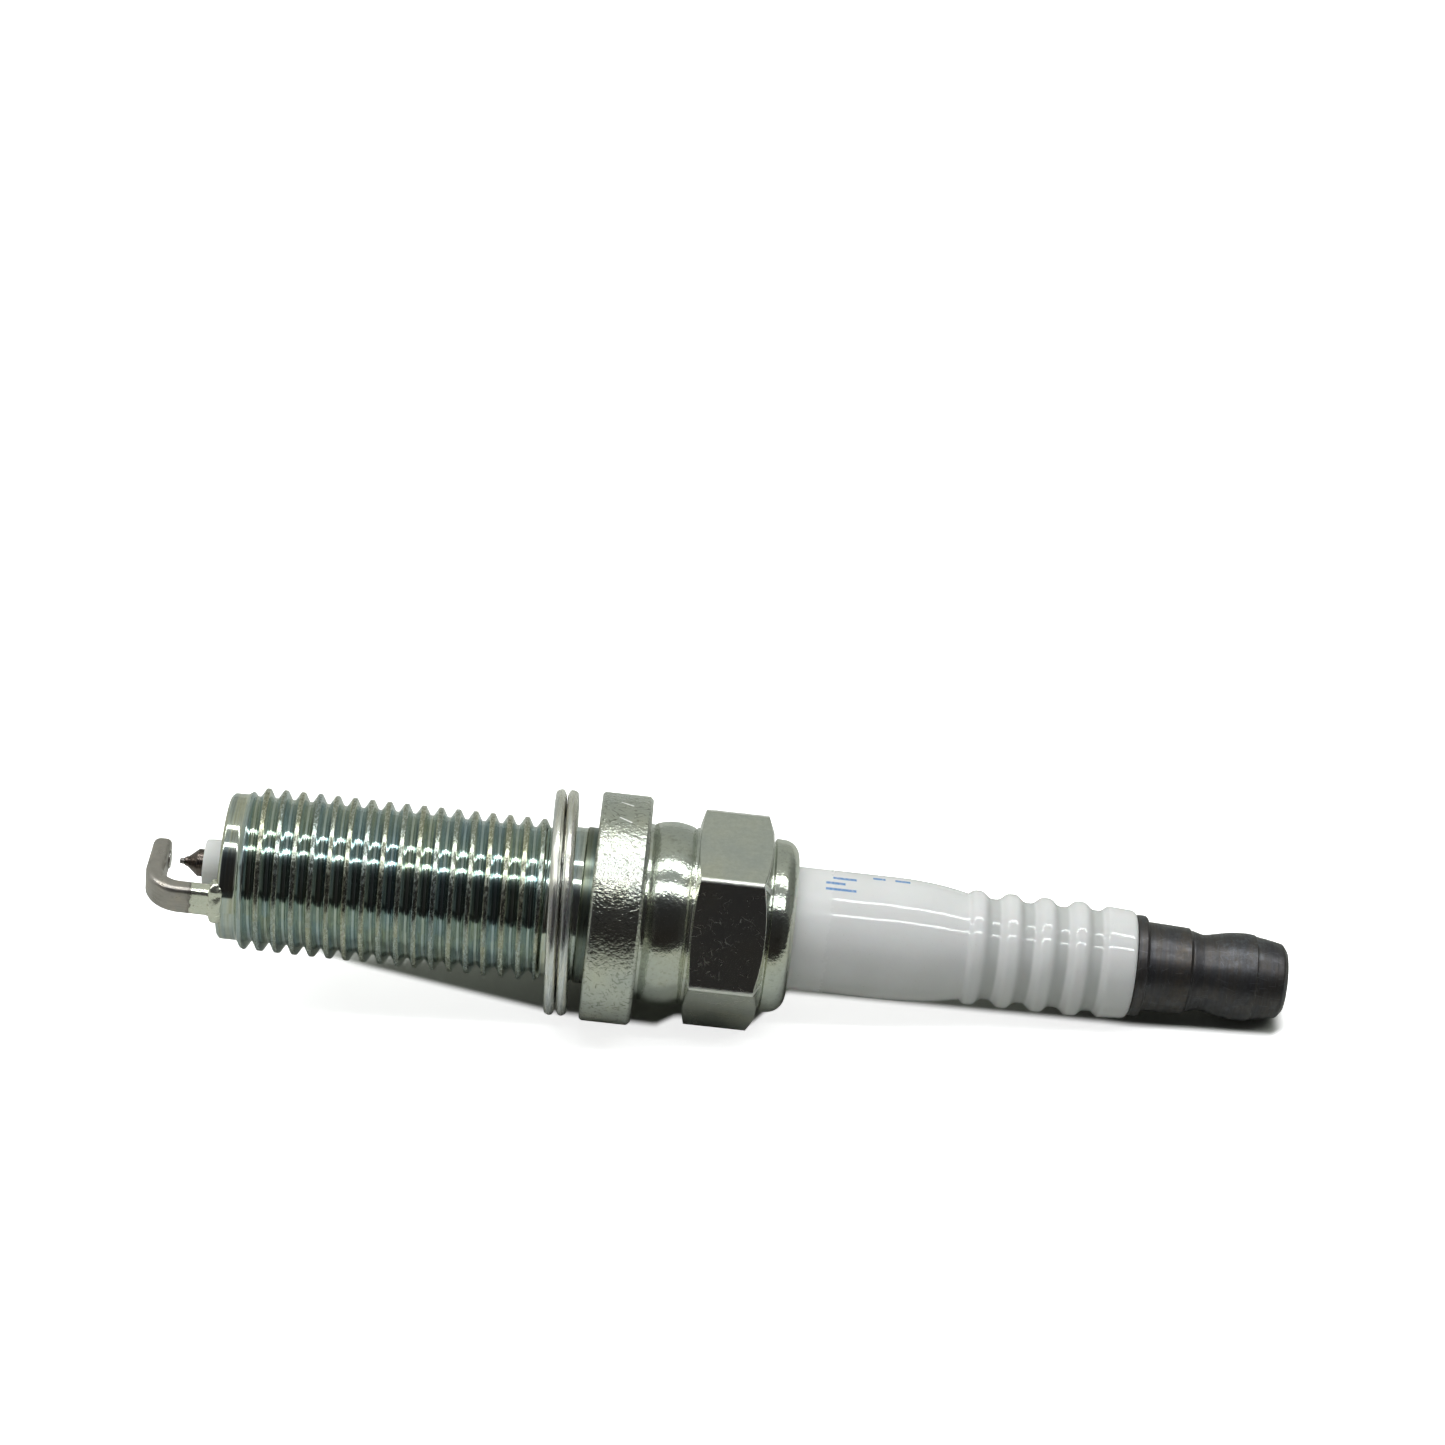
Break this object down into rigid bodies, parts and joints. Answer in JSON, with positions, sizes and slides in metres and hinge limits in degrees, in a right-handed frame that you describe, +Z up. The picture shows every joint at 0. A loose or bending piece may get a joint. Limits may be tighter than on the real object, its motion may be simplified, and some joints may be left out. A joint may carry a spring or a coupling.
{
  "type": "spark plug",
  "caption": "Long-reach motorcycle spark plug: threaded plated shell with hexagon and collar, ribbed white insulator, barrel terminal, fine-wire tip, hooked ground strap and loose crush gasket.",
  "frame": {"origin": "on the plug's axis, in the plane of the shell's gasket seat (the firing-end face of the collar)", "axes": "+X along the axis towards the terminal, -X towards the firing end, +Z up with two hexagon flats facing +Z and -Z and the ground strap rooted towards -Y, turned 5.3 degrees up from it; the thread is right-hand"},
  "size_m": [0.0824, 0.0166, 0.0166],
  "materials": {
    "zinc_plate": "satin",
    "nickel": "matte",
    "platinum": "satin",
    "nickel_dark": "satin",
    "copper": "satin",
    "iridium": "satin",
    "glaze": "gloss",
    "steel_strip": "satin",
    "wire_steel": "satin",
    "talc": "matte",
    "seal_glass": "satin",
    "resistor_mass": "matte",
    "terminal_steel": "satin",
    "gasket_steel": "satin"
  },
  "bodies": {
    "plug": {"metal_shell": "zinc_plate", "ground_electrode": "nickel", "ground_pad": "platinum", "center_electrode": "nickel_dark", "electrode_core": "copper", "iridium_tip": "iridium", "insulator": "glaze", "packing_washer": "steel_strip", "lower_wire_ring": "wire_steel", "talc_filling": "talc", "upper_wire_ring": "wire_steel", "lower_glass_seal": "seal_glass", "resistor": "resistor_mass", "upper_glass_seal": "seal_glass", "terminal_stud": "terminal_steel"},
    "gasket": {"seat_gasket": "gasket_steel"}
  },
  "joints": [
    {"name": "gasket_slide", "type": "slide", "parent": "plug", "child": "gasket", "axis": [1, 0, 0], "range_m": [-0.0001, 0.0008]}
  ]
}
